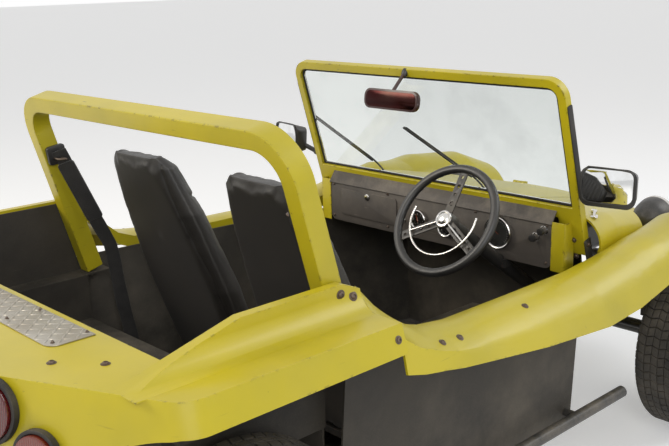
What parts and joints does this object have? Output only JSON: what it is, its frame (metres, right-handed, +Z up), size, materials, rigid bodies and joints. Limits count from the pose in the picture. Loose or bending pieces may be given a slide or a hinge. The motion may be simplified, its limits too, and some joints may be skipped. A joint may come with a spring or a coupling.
{
  "type": "dune buggy",
  "caption": "Open two-seat dune buggy with moulded body, raked windscreen, roll hoop, rear engine, turning wheels, steering and an opening front lid.",
  "frame": {"origin": "middle of the bounding box, on the ground under the wheels", "axes": "+X forward, +Y to the vehicle's left, +Z up"},
  "size_m": [3.2728, 1.659, 1.3158],
  "materials": {
    "yellow_body": "worn gloss",
    "yellow_paint": "worn gloss",
    "dark_body": "dusty matt",
    "black_paint": "satin",
    "tread_plate": "raised pattern",
    "seal_rubber": "matt",
    "clear_glass": "clear",
    "grey_panel": "matt",
    "black_plastic": "satin",
    "lamp_glass": "fluted",
    "red_lens": "gloss",
    "orange_lens": "gloss",
    "black_vinyl": "satin",
    "belt_webbing": "woven",
    "engine_alloy": "cast, oily",
    "exhaust_steel": "dull",
    "rim_silver": "satin",
    "tyre_rubber": "matt"
  },
  "bodies": {
    "body": {"floor_pan": "black_paint", "chassis_frame": "black_paint", "tub": "dark_body", "rear_tub": "dark_body", "rear_body": "yellow_body", "side_bodies": "yellow_body", "nose": "yellow_body", "deck_plate": "tread_plate", "roll_hoop": "yellow_paint", "windscreen_frame": "yellow_paint", "windscreen_seal": "seal_rubber", "windscreen_glass": "clear_glass", "dashboard": "grey_panel", "mirrors": "black_plastic", "head_lamp_buckets": "black_paint", "head_lamp_lenses": "lamp_glass", "tail_lamp_bezels": "black_plastic", "stop_lamp_lenses": "red_lens", "turn_lamp_lenses": "orange_lens", "bumpers": "black_paint", "side_bars": "black_paint", "seat_backs": "black_vinyl", "seat_bases": "black_vinyl", "seat_frames": "black_paint", "seat_belts": "belt_webbing", "fuel_tank": "black_paint", "steering_column": "black_paint", "controls": "black_paint", "engine": "engine_alloy", "exhaust": "exhaust_steel", "front_axle": "black_paint", "rear_axle": "black_paint"},
    "hood": {"hood": "yellow_body"},
    "steering_wheel": {"steering_wheel": "black_plastic"},
    "track_rod": {"track_rod": "black_paint"},
    "knuckle_left": {"knuckle_left": "black_paint"},
    "knuckle_right": {"knuckle_right": "black_paint"},
    "wheel_front_left": {"tyre_front_left": "tyre_rubber", "rim_front_left": "rim_silver"},
    "wheel_front_right": {"tyre_front_right": "tyre_rubber", "rim_front_right": "rim_silver"},
    "wheel_rear_left": {"tyre_rear_left": "tyre_rubber", "rim_rear_left": "rim_silver"},
    "wheel_rear_right": {"tyre_rear_right": "tyre_rubber", "rim_rear_right": "rim_silver"}
  },
  "joints": [
    {"name": "steer_left", "type": "hinge", "parent": "body", "child": "knuckle_left", "pos_m": [1.0765, 0.515, 0.314], "axis": [0, 0, 1], "range_deg": [-30, 30]},
    {"name": "steer_right", "type": "hinge", "parent": "body", "child": "knuckle_right", "pos_m": [1.0765, -0.515, 0.314], "axis": [0, 0, 1], "range_deg": [-30, 30]},
    {"name": "steering_wheel_turn", "type": "hinge", "parent": "body", "child": "steering_wheel", "pos_m": [0.1035, -0.3, 0.885], "axis": [-0.8192, 0, 0.5736], "range_deg": [-450, 450]},
    {"name": "track_rod_slide", "type": "slide", "parent": "body", "child": "track_rod", "axis": [0, 1, 0], "range_m": [-0.062, 0.062]},
    {"name": "hood_open", "type": "hinge", "parent": "body", "child": "hood", "pos_m": [1.239, 0, 0.74037], "axis": [0, 1, 0], "range_deg": [0, 65]},
    {"name": "wheel_front_left_spin", "type": "hinge", "parent": "knuckle_left", "child": "wheel_front_left", "pos_m": [1.0765, 0.663, 0.314], "axis": [0, 1, 0], "continuous": true},
    {"name": "wheel_front_right_spin", "type": "hinge", "parent": "knuckle_right", "child": "wheel_front_right", "pos_m": [1.0765, -0.663, 0.314], "axis": [0, 1, 0], "continuous": true},
    {"name": "wheel_rear_left_spin", "type": "hinge", "parent": "body", "child": "wheel_rear_left", "pos_m": [-0.9965, 0.707, 0.335], "axis": [0, 1, 0], "continuous": true},
    {"name": "wheel_rear_right_spin", "type": "hinge", "parent": "body", "child": "wheel_rear_right", "pos_m": [-0.9965, -0.707, 0.335], "axis": [0, 1, 0], "continuous": true}
  ],
  "couplings": [
    {"joint": "steer_right", "follows": "steer_left", "ratio": 1},
    {"joint": "steering_wheel_turn", "follows": "steer_left", "ratio": 15},
    {"joint": "track_rod_slide", "follows": "steer_left", "m_per_rad": -0.118}
  ]
}
